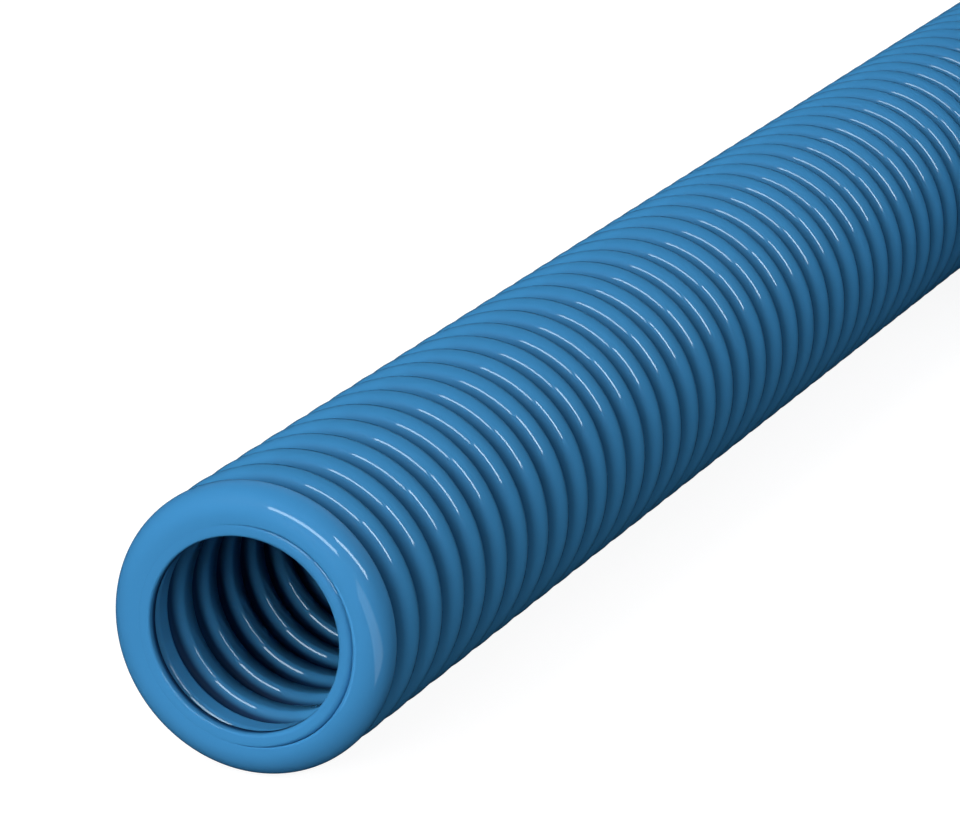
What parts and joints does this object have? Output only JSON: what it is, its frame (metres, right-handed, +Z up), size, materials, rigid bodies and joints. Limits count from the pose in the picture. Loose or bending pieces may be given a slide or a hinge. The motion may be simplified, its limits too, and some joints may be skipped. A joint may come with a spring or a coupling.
{
  "type": "pool vacuum hose",
  "caption": "Ribbed flexible hose with a smooth moulded collar at its open mouth, the rest wound in a strapped two-layer coil that ends in a swivel cuff for a pool vacuum head.",
  "frame": {"origin": "middle of the open mouth, in the plane of the collar's end face", "axes": "+X from the mouth along the straight lead, +Z up from the surface that the hose lies on"},
  "size_m": [0.8912, 0.657, 0.1273],
  "materials": {
    "collar": "gloss",
    "hose": "gloss",
    "strap": "woven",
    "fitting": "gloss",
    "seal": "matte",
    "cuff": "gloss"
  },
  "bodies": {
    "hose": {"end_collar": "collar", "hose_lead": "hose", "hose_coil": "hose", "hose_tail": "hose", "coil_strap_1": "strap", "coil_strap_2": "strap", "coil_strap_3": "strap", "swivel_bushing": "fitting"},
    "cuff": {"swivel_cuff": "cuff", "retaining_ring": "fitting", "swivel_seal": "seal"}
  },
  "joints": [
    {"name": "cuff_swivel", "type": "hinge", "parent": "hose", "child": "cuff", "pos_m": [0.8561, -0.42, 0.06518], "axis": [0, -1, 0], "continuous": true}
  ]
}
